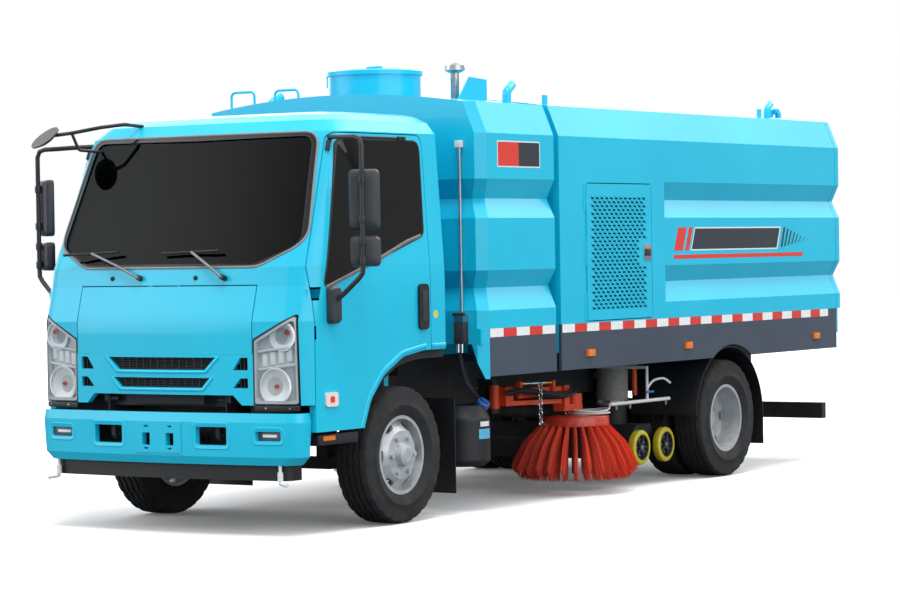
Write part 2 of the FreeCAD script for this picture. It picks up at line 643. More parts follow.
def cab():
    """Cab shell, floor, roof, doors and glazing, split where the real panels meet."""
    outer = cab_form()
    inner = cab_form(CAB_WALL)
    under_skin = cab_form(DOOR_T)
    room = inner.common(box((-2000, 2000), (FRONT_Y - 100, CAB_REAR), (CAB_FLOOR_Z, 2600)))
    wheel_well = prism_x(ARCH, (ARCH_INNER_X, CAB_HALF_W + 100))
    tunnel = box(
        (-ARCH_INNER_X + 45, ARCH_INNER_X - 45), (f(-1062) + CAB_WALL + 60, CAB_REAR + 60),
        (CAB_SILL_Z - 60, 1000),
    )
    step = box((ARCH_INNER_X + 45, CAB_HALF_W - DOOR_T - 2), (f(-860), f(-480)), (640, CAB_FLOOR_Z + 1))
    low_front = box((-2000, 2000), (FRONT_Y - 200, DOOR_FRONT_Y - MOVING_GAP), (CAB_SILL_Z - 60, 735))
    door_x = (CAB_HALF_W - 184, CAB_HALF_W + 100)
    arch_solid = prism_x(ARCH, door_x)
    door_solid = prism_x(DOOR, door_x).cut(arch_solid)
    door_skin = outer.cut(under_skin).common(door_solid)
    gap_face = grown(DOOR, MOVING_GAP)
    gap_face.translate(V(door_x[0], 0, 0))
    door_hole = gap_face.extrude(V(door_x[1] - door_x[0], 0, 0))
    window = prism_x(WINDOW, door_x)
    door = door_skin.cut(window)
    glass_outer = cab_form(10.0)
    glass_inner = cab_form(10.0 + GLASS_T)
    door_glass = glass_outer.cut(glass_inner).common(window)

    shell = outer.cut([room, wheel_well, mirrored(wheel_well), tunnel, step, mirrored(step), low_front])
    for hole in (door_hole, mirrored(door_hole)):
        shell = shell.cut(
            hole.cut(box((-CAB_HALF_W + 190, CAB_HALF_W - 190), (FRONT_Y, REAR_Y), (0, 3000)))
        )

    screen_prism = prism_y(WINDSCREEN, (f(-1200), f(-500)))
    screen = glass_outer.cut(glass_inner).common(screen_prism)
    flap_w, flap_z0, flap_z1 = FLAP
    flap_prism = box((-flap_w, flap_w), (f(-1200), f(-900)), (flap_z0, flap_z1))
    flap_hole = box(
        (-flap_w - MOVING_GAP, flap_w + MOVING_GAP), (f(-1200), f(-900)), (flap_z0, flap_z1 + MOVING_GAP),
    )
    lamp_prism = prism_y(LAMP, (f(-1200), f(-925)))
    lamp_skin = outer.cut(cab_form(70.0))
    lamp = lamp_skin.common(lamp_prism)
    flap = outer.cut(cab_form(FLAP_T)).common(flap_prism)
    grille_prism = box((-flap_w, flap_w), (f(-1200), f(-900)), (735, flap_z0 - MOVING_GAP))
    grille = outer.cut(cab_form(40.0)).common(grille_prism)
    slots = []
    # half width at top, half width at bottom, z top, z bottom
    for top_w, low_w, z1, z0 in ((385, 310, 1000, 930), (345, 290, 885, 830)):
        slots.append(prism_y([(-top_w, z1), (-low_w, z0), (low_w, z0), (top_w, z1)], (f(-1200), f(-900))))
    for z1, z0 in ((1000, 930), (885, 830)):
        side = prism_y([(600, z1), (600, z0), (500, z0), (550, z1)], (f(-1200), f(-900)))
        slots.extend(both_sides(side))
    mouth = prism_y([(-560, 735 - 1), (-500, 790), (500, 790), (560, 735 - 1)], (f(-1200), f(-900)))
    grille = grille.cut(slots + [mouth])
    flap_hole = flap_hole.common(outer.cut(cab_form(FLAP_T + MOVING_GAP)))
    front_cut = [screen_prism.common(box((-2000, 2000), (f(-1200), f(-560)), (1400, 2300))), flap_hole,
        lamp_prism.common(lamp_skin),
                 mirrored(lamp_prism.common(lamp_skin)), grille_prism]
    shell = shell.cut(front_cut)
    below = box((-2000, 2000), (FRONT_Y - 200, CAB_REAR + 100), (0, CAB_FLOOR_Z))
    foot_gap = box((-ARCH_INNER_X - 6, ARCH_INNER_X + 6), (f(-440), CAB_REAR + 60), (0, ARCH_OPEN_Z))
    floor = shell.common(cab_form(CAB_WALL + SEAT_GAP)).common(below).cut(foot_gap)
    shell = shell.cut(inner.common(below)).cut(foot_gap)
    back_light = box((-450, 450), (CAB_REAR - CAB_WALL - 5, CAB_REAR + 5), (1620, 2050))
    shell = shell.cut(back_light)
    ear_x = RAIL_X + RAIL_W / 2 + 4
    ear = prism_x([(CAB_PIVOT_Y + 10, CAB_FLOOR_Z - 10), (CAB_PIVOT_Y - 20, CAB_PIVOT_Z + 30),
        (CAB_PIVOT_Y - 20, CAB_PIVOT_Z - 24, 18.0),
                   (CAB_PIVOT_Y + 24, CAB_PIVOT_Z - 24, 20.0), (CAB_PIVOT_Y + 60, CAB_FLOOR_Z - 10)],
                   (ear_x, ear_x + 25))
    ear = fuse(
        ear,
        rod(
            CAB_PIN_R, (RAIL_X - RAIL_W / 2, CAB_PIVOT_Y, CAB_PIVOT_Z),
            (ear_x + 25, CAB_PIVOT_Y, CAB_PIVOT_Z),
        ),
    )
    under_floor = box((-2000, 2000), (FRONT_Y - 200, CAB_REAR + 100), (0, CAB_UNDER_Z - SEAT_GAP))
    liner = arch_liner().common(cab_form(CAB_WALL + SEAT_GAP)).common(under_floor)
    wells = [
        fuse(well, liner if well.CenterOfMass.x > 0 else mirrored(liner))
        for well in floor.common(under_floor).Solids
    ]
    save("cab_steps", *wells)
    floor = fuse(
        floor.cut(box((-2000, 2000), (FRONT_Y - 200, CAB_REAR + 100), (0, CAB_UNDER_Z))), ear,
        mirrored(ear),
    )
    save("windscreen", screen, box((-450, 450), (CAB_REAR - 25, CAB_REAR - 25 + GLASS_T), (1620, 2050)))
    flap, flap_lugs = flap_hinges(flap)
    shell = fuse(shell, *flap_lugs)
    save("front_flap", flap)
    save("grille", grille)
    save("headlamps", lamp, mirrored(lamp))
    door, shell_hooks = door_hinges(door)
    shell = fuse(shell, *shell_hooks, *[mirrored(h) for h in shell_hooks])
    above = box((-2000, 2000), (FRONT_Y - 200, CAB_REAR + 100), (ROOF_SEAM_Z, 2600))
    save("cab_roof", shell.common(above))
    below_seam = box((-2000, 2000), (FRONT_Y - 200, CAB_REAR + 100), (0, ROOF_SEAM_Z - SEAT_GAP))
    save("cab_shell", shell.common(below_seam))
    save("cab_floor", floor)
    handle = box((CAB_HALF_W - 8, CAB_HALF_W + 14), (f(136), f(190)), (1128, 1378))
    door = fuse(door, handle)
    save("door_left", door)
    save("door_right", mirrored(door))
    save("door_glass_left", door_glass)
    save("door_glass_right", mirrored(door_glass))


def flap_hinges(flap):
    """Two small knuckles at the flap's top edge, on pins held by lugs of the panel above."""
    lugs = []
    for x in (-FLAP_HINGE_X, FLAP_HINGE_X):
        flap = flap.cut(box((x - 11, x + 11), (f(-1100), f(-900)), (FLAP_PIVOT_Z - 6, FLAP[2] + 1)))
        lug = fuse(box((x - 8, x + 8), (FLAP_PIVOT_Y - 3.5, FLAP_PIVOT_Y + 20), (FLAP_PIVOT_Z, FLAP[2] + MOVING_GAP + 1)),
                   rod(3.5, (x - 8, FLAP_PIVOT_Y, FLAP_PIVOT_Z), (x + 8, FLAP_PIVOT_Y, FLAP_PIVOT_Z)),
                   rod(2.0, (x - 26, FLAP_PIVOT_Y, FLAP_PIVOT_Z), (x + 26, FLAP_PIVOT_Y, FLAP_PIVOT_Z)))
        lugs.append(lug)
        flap = flap.cut(
            rod(2.0 + RUN_GAP, (x - 27, FLAP_PIVOT_Y, FLAP_PIVOT_Z), (x + 27, FLAP_PIVOT_Y, FLAP_PIVOT_Z))
        )
    return flap, lugs


def door_hinges(door):
    """Two concealed hinges: a hook from the pillar reaches round into a pocket of the door, onto its pin."""
    x, y = DOOR_HINGE_X, DOOR_HINGE_Y
    hooks = []
    for z in DOOR_HINGE_ZS:
        low, high = z - HOOK_H / 2, z + HOOK_H / 2
        pocket = box(
            (CAB_HALF_W - 200, x + HOOK_R + 2), (DOOR_FRONT_Y - 10, y + HOOK_R + 4),
            (low - 12, high + 12),
        )
        pocket = pocket.fuse(rod(HOOK_R + 2, (x, y, low - 12), (x, y, high + 12)))
        door = door.cut(pocket)
        pin = rod(HOOK_PIN_R, (x, y, low - 12 - 20), (x, y, high + 12 + 20))
        door = door.fuse(pin)
        inner_x = x - HOOK_SWEEP
        hook = fuse(box((inner_x - 14, x), (y - HOOK_R, y + HOOK_R), (low, high)),
            rod(HOOK_R, (x, y, low), (x, y, high)),
                    box((inner_x - 14, inner_x), (DOOR_FRONT_Y - 26, y + HOOK_R), (low, high)),
                    box((inner_x - 14, CAB_HALF_W - CAB_WALL + 1), (DOOR_FRONT_Y - 26, DOOR_FRONT_Y - 12),
                        (low, high)))
        hooks.append(hook.cut(rod(HOOK_PIN_R + RUN_GAP, (x, y, low - 5), (x, y, high + 5))))
    return door, hooks


def cab_inside():
    """Seats, dashboard and steering wheel."""
    z = CAB_FLOOR_Z + SEAT_GAP
    seats = []
    for x0, x1 in ((290, 760), (-760, -290), (-230, 230)):
        pan = box((x0, x1), (f(-330), f(160)), (z, z + 300))
        back = prism_x([(f(160), z), (f(160), z + 880), (f(270), z + 900), (f(250), z)], (x0, x1))
        seats.append(fuse(pan, back))
    dash = prism_x([(f(-900), z + 100), (f(-870), z + 400, 40.0), (f(-700), z + 420, 60.0),
        (f(-600), z + 200, 60.0),
                    (f(-640), z + 100)], (-800, 800))
    column = rod(28, (500, f(-700), z + 300), (500, f(-520), z + 420))
    wheel = Part.makeTorus(205, 16, V(500, f(-508), z + 430), V(0, 180, 120))
    spokes = [
        rod(12, (500 - 200, f(-508), z + 430), (500 + 200, f(-508), z + 430)),
        rod(60, (500, f(-524), z + 419), (500, f(-500), z + 435)),
    ]
    foot = box((-800, 800), (f(-900), f(-700)), (z, z + 110))
    save("cab_interior", *seats, fuse(dash, foot, column, wheel, *spokes))


def cab_outside():
    """Mirrors, wipers, arch liners and mud flaps."""
    reach = CAB_HALF_W + 202.0
    arm = tube([(CAB_HALF_W - 125, f(-575), 2228), (CAB_HALF_W + 60, f(-700), 2218), (reach, f(-724), 2214),
                (reach, f(-724), 1460), (CAB_HALF_W + 30, f(-748), 1305), (CAB_HALF_W - 20, f(-748), 1300)],
                14.0, 60.0)
    foot = box((CAB_HALF_W + SEAT_GAP, CAB_HALF_W + 45), (f(-800), f(-700)), (1180, 1390))
    shells = []
    for z0, z1 in ((1700, 2037), (1495, 1665)):
        shell = prism_z([(-87, -30, 20.0), (-87, 30), (87, 30), (87, -30, 20.0)], (z0, z1))
        shell.rotate(V(0, 0, 0), V(0, 0, 1), 31)
        shell.translate(V(reach - 16, f(-680), 0))
        shells.append(shell)
    clips = [rod(12, (reach, f(-724), z), (reach - 16, f(-690), z)) for z in (1640, 1760, 1980, 1530)]
    mirror = fuse(arm, foot, *shells, *clips).cut(cab_form())
    save("mirror_left", mirror)
    save("mirror_right", mirrored(mirror))

    side = -CAB_HALF_W
    frame = tube([
        (side + 475, f(-560), 2335), (side + 445, f(-690), 2345), (side + 335, f(-770), 2330),
        (side + 175, f(-850), 2300), (side + 45, f(-860), 2290),
    ], 11.0, 50.0)
    stay = tube(
        [(side + 235, f(-600), 2190), (side + 185, f(-800), 2200), (side + 175, f(-850), 2300)], 9.0,
        30.0,
    )
    dish = turned_z([(0, -22), (60, -16), (95, 0), (95, 8), (0, 8)], 0, 0)
    dish.rotate(V(0, 0, 0), V(1, 0, 0), 40)
    dish.rotate(V(0, 0, 0), V(0, 0, 1), -20)
    dish.translate(V(side - 10, f(-870), 2275))
    save("front_mirror", fuse(frame, stay, dish).cut(cab_form()))


def wipers():
    """Two wipers, each a post, an arm and a blade laid on the windscreen."""
    parts = []
    for x, tip_x in ((416, 170), (-180, -560)):
        pivot_y = f(-1010)
        post = rod(16, (x, pivot_y + 30, 1440), (x, pivot_y - 14, 1452))
        arm = tube(
            [(x, pivot_y - 6, 1448), ((x + tip_x) / 2, f(-1000), 1525), (tip_x, f(-970), 1590)], 7.0,
            200.0,
        )
        blade = tube(
            [(tip_x - 210, f(-975), 1585), (tip_x, f(-968), 1592), (tip_x + 190, f(-966), 1598)], 8.0,
            500.0,
        )
        wiper = fuse(post, arm, blade).cut(cab_form())
        parts.append(max(wiper.Solids, key=lambda piece: piece.Volume))
    save("wipers", *parts)


def arch_liner():
    """Moulded wheel-arch liner under the cab floor."""
    line = [
        (f(-448), 600), (f(-383), 735), (f(-250), 867), (f(-58), 963), (f(160), 993), (CAB_REAR - 5, 993),
    ]
    over = [(y, z + 14) for y, z in reversed(line)]
    return prism_x(line + over, (ARCH_INNER_X - 5, CAB_HALF_W - DOOR_T - MOVING_GAP))


def front_mudflaps():
    """Flap behind each front wheel on a strut from the rail."""
    flap = box((ARCH_INNER_X, 950), (f(520), f(528)), (136, 700))
    strut = box((RAIL_X + RAIL_W / 2 + SEAT_GAP, ARCH_INNER_X + 40), (f(528), f(560)), (660, 690))
    return both_sides(fuse(flap, strut))


# ---------------------------------------------------------------- bumper
def bumper():
    """Pressed bumper: bowed skin with lamp pockets, two openings and a raised plate holder."""
    nose = FRONT_Y + 2
    # z, set back from the nose, half width
    rows = ((403.0, 18.0, 880.0), (448.0, 2.0, 925.0), (640.0, 0.0, 938.0), (691.0, 8.0, 932.0))

    def form(inset, rear):
        return Part.makeLoft(
            [plan(z, nose + back, half_w, 90.0, 6500.0, rear, inset) for z, back, half_w in rows], True,
            True,
        )

    skin = form(0.0, f(-908)).cut(form(BUMPER_T, f(-700)))
    holes = []
    for x0, x1, z0, z1 in ((266, 473, 512, 614), (662, 823, 540, 592)):
        hole = prism_y(
            [(x0, z0, 10.0), (x0, z1, 10.0), (x1, z1, 10.0), (x1, z0, 10.0)], (f(-1200), f(-900)),
        )
        holes.extend(both_sides(hole))
    for x in (-PLATE_X, PLATE_X):
        holes.append(box((x - 28, x + 28), (f(-1200), f(-900)), (505, 575)))
        for z in PLATE_ROWS_Z:
            half, end = PLATE_SLOT_L / 2, PLATE_SLOT_R - 0.001
            holes.append(prism_y([(x - half, z - PLATE_SLOT_R, end), (x - half, z + PLATE_SLOT_R, end),
                (x + half, z + PLATE_SLOT_R, end),
                                  (x + half, z - PLATE_SLOT_R, end)], (f(-1200), f(-900))))
    plate = box((-165, 165), (FRONT_Y, FRONT_Y + 10), (462, 640))
    stays = [
        box(
            (s * RAIL_X - 30, s * RAIL_X + 30), (FRONT_Y + BUMPER_T + 12, FRONT_Y + 90 - SEAT_GAP),
            (RAIL_Z0 + 30, RAIL_Z0 + 80),
        )
        for s in (-1, 1)
    ]
    save("front_bumper", fuse(skin, plate, *stays).cut(holes))
    fog = prism_y(
        [(x, z, 9.7) for x, z in ((662.3, 540.3), (662.3, 591.7), (822.7, 591.7), (822.7, 540.3))],
        (f(-1030), f(-1010)),
    )
    save("fog_lamps", *both_sides(fog))


def front_valance():
    """Bowed black lip under the bumper."""
    def lip(inset, heights, rear):
        return Part.makeLoft(
            [plan(z, FRONT_Y + 20, 870.0, 90.0, 6500.0, rear, inset) for z in heights], True, True,
        )

    return lip(30.0, (316.0, 402.7), f(-840)).cut(lip(38.0, (310.0, 410.0), f(-700)))


def front_nozzles():
    """Wash nozzles that hang under the bumper's corners."""
    nozzles = []
    for s in (-1, 1):
        x = s * 800.0
        drop = rod(9, (x, f(-1017), 300), (x, f(-1017), 402.7))
        body = rod(16, (x, f(-1017), 318), (x, f(-1017), 366))
        jet = rod(12, (x, f(-1017), 306), (x + s * 62, f(-1040), 296))
        nozzles.append(fuse(drop, body, jet))
    return nozzles


# ---------------------------------------------------------------- tank and waste body
def tank_plan(z, inset):
    """Front tank section at one height: a rectangle with cut front corners, inset at the grooves."""
    w = BODY_HALF_W - inset
    y0 = TANK_Y0 + min(inset, GROOVE_DEPTH)
    c = TANK_CORNER
    points = [(-w, TANK_Y1), (-w, y0 + c), (-w + c, y0), (w - c, y0), (w, y0 + c), (w, TANK_Y1)]
    return Part.makePolygon([V(x, y, z) for x, y in points + points[:1]])


def crown_cap(y, half_w, low, high):
    """The arched top sheet between the eaves."""
    arc = Part.Arc(V(-half_w, y[0], low), V(0, y[0], high), V(half_w, y[0], low)).toShape()
    chord = Part.LineSegment(V(half_w, y[0], low), V(-half_w, y[0], low)).toShape()
    return Part.Face(Part.Wire([arc, chord])).extrude(V(0, y[1] - y[0], 0))


def water_tank():
    """Front clean-water tank: pressed grooves wrap the front corners, arched top, manhole collar."""
    levels = [(BODY_BASE_Z, 0.0)]
    for low, vertex, high in GROOVES:
        levels += [(low, 0.0), (vertex, GROOVE_DEPTH), (high, 0.0)]
    levels.append((SHOULDER_Z, 0.0))
    body = Part.makeLoft([tank_plan(z, inset) for z, inset in levels], True, True)
    c = TANK_CORNER
    wires = []
    for z, w in ((SHOULDER_Z, BODY_HALF_W), (EAVE_Z, EAVE_HALF_W)):
        points = [
            (-w, TANK_Y1), (-w, TANK_Y0 + c), (-w + c, TANK_Y0), (w - c, TANK_Y0), (w, TANK_Y0 + c),
            (w, TANK_Y1),
        ]
        wires.append(Part.makePolygon([V(x, y, z) for x, y in points + points[:1]]))
    shoulder = Part.makeLoft(wires, True, True)
    crown = crown_cap((TANK_Y0, TANK_Y1), EAVE_HALF_W - 54, EAVE_Z, CROWN_Z)
    belly_x = BODY_HALF_W - SKIRT_T - 8
    belly = box((-belly_x, belly_x), (TANK_Y0, TANK_Y1), (TANK_BELLY_Z, BODY_BASE_Z))
    bolster = box(
        (-RAIL_X - 40, RAIL_X + 40), (TANK_Y0 + 60, TANK_Y1 - 20),
        (SUBFRAME_Z1 + SEAT_GAP, TANK_BELLY_Z + 1),
    )
    leg = prism_y([
        (BODY_HALF_W - 93, BODY_BASE_Z), (
            BODY_HALF_W - 93, TANK_BELLY_Z,
        ), (BODY_HALF_W - 20, 806), (BODY_HALF_W, 806),
        (BODY_HALF_W, BODY_BASE_Z),
    ], (TANK_Y0, TANK_Y0 + c))
    leg = leg.cut(prism_z([
        (BODY_HALF_W - c, TANK_Y0 - 1), (BODY_HALF_W + 1, TANK_Y0 - 1), (BODY_HALF_W + 1, TANK_Y0 + c + 1),
        (BODY_HALF_W, TANK_Y0 + c),
    ], (700, 1200)))
    collar = rod(HATCH_R, (0, HATCH_Y, EAVE_Z + 14), (0, HATCH_Y, HATCH_SEAT_Z))
    lug_x = HATCH_R + 20
    lug_pin = rod(12, (-lug_x, HATCH_Y - 60, HATCH_SEAT_Z + 10), (-lug_x, HATCH_Y + 60, HATCH_SEAT_Z + 10))
    lugs = [box((-lug_x - 15, -lug_x + 25), (HATCH_Y + at, HATCH_Y + at + 20), (HATCH_SEAT_Z - 60, HATCH_SEAT_Z + 16))
            for at in (-60, 40)]
    fin = prism_x(
        [
            (f(1130), CROWN_Z - 60), (f(1280), CROWN_Z + 110), (f(1480), CROWN_Z + 100),
            (f(1480), CROWN_Z - 60),
        ],
        (596, 604),
    )
    horn_x = EAVE_HALF_W - 96
    horn = tube(
        [
            (horn_x, f(1240), EAVE_Z - 6), (horn_x, f(1240), EAVE_Z + 79),
            (horn_x - 20, f(1330), EAVE_Z + 124),
        ],
        27.0, 45.0,
    )
    loops = []
    for x0 in (-820, -480):
        loops.append(tube([(x0, f(720), EAVE_Z + 4), (x0, f(720), EAVE_Z + 124),
            (x0 + 180, f(720), EAVE_Z + 124),
                           (x0 + 180, f(720), EAVE_Z + 14)], 8.0, 30.0))
    save("water_tank", fuse(body, shoulder, crown, belly, bolster, leg, mirrored(leg), collar, lug_pin,
        *lugs, fin,
                            horn, mirrored(horn), *loops))

    vent_x, vent_y, top = 450.0, f(1350), VENT_TOP_Z
    cap = turned_z(
        [(0, top - 67), (38, top - 67), (66, top - 52), (60, top - 22), (0, top)], vent_x, vent_y,
    )
    vent = fuse(
        rod(27, (vent_x, vent_y, EAVE_Z + 34), (vent_x, vent_y, top - 62)), cap,
    ).cut(NODES["water_tank"])
    seat = HATCH_SEAT_Z
    lid = turned_z([
        (0, seat + SEAT_GAP), (HATCH_R + 12, seat + SEAT_GAP), (HATCH_R + 12, seat + 26), (HATCH_R - 10, seat + 34), (0, seat + 34),
    ], 0, HATCH_Y)
    notch = box((-lug_x - 30, -lug_x + 26), (HATCH_Y - 66, HATCH_Y + 66), (seat - 70, seat + 130))
    grip = tube(
        [
            (-60, HATCH_Y, seat + 30), (-60, HATCH_Y, seat + 58), (60, HATCH_Y, seat + 58),
            (60, HATCH_Y, seat + 30),
        ],
        7.0, 14.0,
    )
    save("hatch_lid", fuse(lid.cut(notch), grip))

    y0, y1 = TANK_Y0 + c + SEAT_GAP, TANK_Y1
    skirt = box((BODY_HALF_W - SKIRT_T, BODY_HALF_W), (y0, y1), (SKIRT_Z0, BODY_BASE_Z - SEAT_GAP))
    hanger = box((RAIL_X + RAIL_W / 2 + SEAT_GAP, BODY_HALF_W - SKIRT_T), (y1 - 90, y1 - 30), (880, 920))
    save("tank_skirts", *both_sides(fuse(skirt, hanger)))
    gauge_x, face_y = BODY_HALF_W - 150, TANK_Y0 - SEAT_GAP
    gauge = fuse(
        box((gauge_x - 20, gauge_x + 20), (TANK_Y0 - 34, face_y), (SHOULDER_Z - 85, SHOULDER_Z - 45)),
        rod(9, (gauge_x, TANK_Y0 - 16, 1190), (gauge_x, TANK_Y0 - 16, SHOULDER_Z - 80)),
        box((gauge_x - 30, gauge_x + 35), (TANK_Y0 - 60, face_y), (1020, 1196)))
    save("tank_fittings", vent, gauge)


def side_outline(inset, grooves, base):
    """Cross-section of the waste body as (x, z) points of the left half, from the base up to the eave."""
    points = [(BODY_HALF_W - inset, base)]
    if grooves:
        for low, vertex, high in GROOVES:
            points += [
                (BODY_HALF_W - inset, low), (BODY_HALF_W - GROOVE_DEPTH - inset, vertex),
                (BODY_HALF_W - inset, high),
            ]
    points += [(BODY_HALF_W - inset, SHOULDER_Z - inset * 0.3), (EAVE_HALF_W - inset * 0.8, EAVE_Z - inset)]
    return points


def body_prism(y, inset, grooves, base):
    """The waste body's cross-section between two stations: grooved sides, shoulders and arched top."""
    half = side_outline(inset, grooves, base)
    right = [V(x, y[0], z) for x, z in half]
    left = [V(-x, y[0], z) for x, z in reversed(half)]
    edges = [Part.LineSegment(a, b).toShape() for a, b in zip(right, right[1:])]
    edges.append(Part.Arc(right[-1], V(0, y[0], CROWN_Z - inset), left[0]).toShape())
    edges += [Part.LineSegment(a, b).toShape() for a, b in zip(left, left[1:])]
    edges.append(Part.LineSegment(left[-1], right[0]).toShape())
    return Part.Face(Part.Wire(edges)).extrude(V(0, y[1] - y[0], 0))


def waste_body():
    """Tipping body: plant bay behind flat sides, then the grooved waste bin with a top-hung tailgate."""
    gate_y = REAR_Y - TAILGATE_T
    bin_y1 = gate_y - MOVING_GAP
    floor_z = SUBFRAME_Z1 + SEAT_GAP
    flat = body_prism((BIN_Y0, BIN_GROOVE_Y), 0.0, False, BODY_BASE_Z)
    ribbed = body_prism((BIN_GROOVE_Y, bin_y1), 0.0, True, BODY_BASE_Z)
    w = BODY_HALF_W - SKIRT_T - SEAT_GAP
    lower = box((-w, w), (BIN_Y0, bin_y1), (floor_z, BODY_BASE_Z))
    bay = body_prism((BIN_Y0 + BIN_WALL, BULKHEAD_Y), BIN_WALL, False, floor_z + BIN_FLOOR_T)
    hold = body_prism((BULKHEAD_Y + BIN_WALL + 20, bin_y1 + 10), BIN_WALL, True, floor_z + BIN_FLOOR_T)
    side_cut = box((w - 20, w + 200), (BIN_Y0 - 10, bin_y1 + 20), (floor_z, BODY_BASE_Z))
    bay = bay.cut([side_cut, mirrored(side_cut)])
    hold = hold.cut([side_cut, mirrored(side_cut)])
    door_hole = prism_x([(ACCESS_Y0 - MOVING_GAP, ACCESS_Z0 - MOVING_GAP, 30.0),
        (ACCESS_Y0 - MOVING_GAP, ACCESS_Z1 + MOVING_GAP, 30.0),
                         (ACCESS_Y1 + MOVING_GAP, ACCESS_Z1 + MOVING_GAP, 30.0),
                         (ACCESS_Y1 + MOVING_GAP, ACCESS_Z0 - MOVING_GAP, 30.0)],
                        (BODY_HALF_W - BIN_WALL - 10, BODY_HALF_W + 10))
    shell = fuse(flat, ribbed, lower).cut([bay, hold, door_hole, mirrored(door_hole)])
    lugs = []
    for s in (-1, 1):
        x0 = RAIL_X + RAIL_W / 2 + MOVING_GAP
        lug = prism_x([(BIN_PIVOT_Y - 70, floor_z + 1), (BIN_PIVOT_Y - 30, BIN_PIVOT_Z - 30, 20.0),
            (BIN_PIVOT_Y + 30, BIN_PIVOT_Z - 30, 20.0),
                       (BIN_PIVOT_Y + 70, floor_z + 1)], (x0, x0 + 25))
        pin = rod(20, (RAIL_X - RAIL_W / 2, BIN_PIVOT_Y, BIN_PIVOT_Z), (x0 + 25, BIN_PIVOT_Y, BIN_PIVOT_Z))
        lug = fuse(lug, pin)
        lugs.append(lug if s > 0 else mirrored(lug))
    gate_lugs = []
    for x in (-600, 600):
        gate_lugs.append(prism_x([(gate_y - 110, EAVE_Z + 14), (gate_y - 110, TAILGATE_PIVOT_Z),
            (gate_y + 11, TAILGATE_PIVOT_Z + 18),
                                  (gate_y + 11, TAILGATE_PIVOT_Z - 15), (gate_y - 20, CROWN_Z - 20),
                                  (gate_y - 20, EAVE_Z + 14)], (x - 40, x - 12)))
    gate_pins = [
        rod(
            10, (x - 40, gate_y - MOVING_GAP / 2, TAILGATE_PIVOT_Z),
            (x + 22, gate_y - MOVING_GAP / 2, TAILGATE_PIVOT_Z),
        )
        for x in (-600, 600)
    ]
    bits = []
    for s in (-1, 1):
        for y in (BIN_Y0 + 145, REAR_Y - 885):
            bits.append(box((s * HOOK_X - 8, s * HOOK_X + 8), (y, y + 40), (EAVE_Z + 4, EAVE_Z + 74)))
        bits.append(tube([
            (s * (HOOK_X - 20), REAR_Y - 705, EAVE_Z + 4), (s * (HOOK_X - 20), REAR_Y - 705, EAVE_Z + 79),
            (s * (HOOK_X - 35), REAR_Y - 625, EAVE_Z + 119),
        ], 24.0, 40.0))
    save("waste_body", fuse(shell, *lugs, *gate_lugs, *gate_pins, *bits))

    gate = body_prism((gate_y, REAR_Y), 0.0, True, BODY_BASE_Z)
    gate_low = box((-w, w), (gate_y, REAR_Y), (floor_z, BODY_BASE_Z))
    eyes = []
    for x in (-600, 600):
        eye = prism_x([(gate_y + 50, EAVE_Z + 14), (gate_y + 8, EAVE_Z + 14), (gate_y + 8, CROWN_Z - 6),
            (gate_y - 17, TAILGATE_PIVOT_Z - 14),
                       (gate_y - 17, TAILGATE_PIVOT_Z + 14), (gate_y + 14, TAILGATE_PIVOT_Z + 14),
                       (gate_y + 50, CROWN_Z)], (x - 6, x + 22))
        eyes.append(eye)
    bores = [
        rod(
            10 + RUN_GAP, (x - 50, gate_y - MOVING_GAP / 2, TAILGATE_PIVOT_Z),
            (x + 50, gate_y - MOVING_GAP / 2, TAILGATE_PIVOT_Z),
        )
        for x in (-600, 600)
    ]
    gate = fuse(gate, gate_low, *eyes).cut(bores)
    save("tailgate", gate)

    arch = rod(MUDGUARD_R + 22, (0, REAR_AXLE_Y, TYRE_R), (BODY_HALF_W + 50, REAR_AXLE_Y, TYRE_R))
    skirt = box(
        (BODY_HALF_W - SKIRT_T, BODY_HALF_W), (BIN_Y0, bin_y1), (SKIRT_Z0, BODY_BASE_Z - SEAT_GAP),
    ).cut(arch)
    save("bin_skirts", *both_sides(skirt))
    lamps = []
    for y in (f(1895), f(3177), f(5088)):
        lamps.append(box((BODY_HALF_W + SEAT_GAP, BODY_HALF_W + 18), (y - 42, y + 42), (898, 940)))
    save("marker_lamps", *lamps, *[mirrored(s) for s in lamps])

    engine = box((-480, 480), (BIN_Y0 + 180, BULKHEAD_Y - 260), (floor_z + BIN_FLOOR_T + SEAT_GAP, 1750))
    save("auxiliary_engine", engine)




def access_hinge(leaf):
    """Piano hinge on the door's front edge: two knuckles of the door run on a pin held by three of the body's."""
    x, y = ACCESS_HINGE_X, ACCESS_HINGE_Y
    height = (ACCESS_Z1 - ACCESS_Z0) / 5
    fixed = [rod(3, (x, y, ACCESS_Z0), (x, y, ACCESS_Z1))]
    for i in range(5):
        low, high = ACCESS_Z0 + height * i + 0.5, ACCESS_Z0 + height * (i + 1) - 0.5
        knuckle = rod(6, (x, y, low), (x, y, high))
        if i % 2:
            plate = box((BODY_HALF_W - 1, BODY_HALF_W + 3), (y + 3, y + 36), (low, high))
            leaf = fuse(leaf, fuse(plate, knuckle).cut(rod(3 + RUN_GAP, (x, y, low - 5), (x, y, high + 5))))
        else:
            fixed.append(knuckle)
            fixed.append(box((BODY_HALF_W - 1, BODY_HALF_W + 3), (y - 36, y - 3), (low, high)))
    return leaf, [fuse(*fixed)]


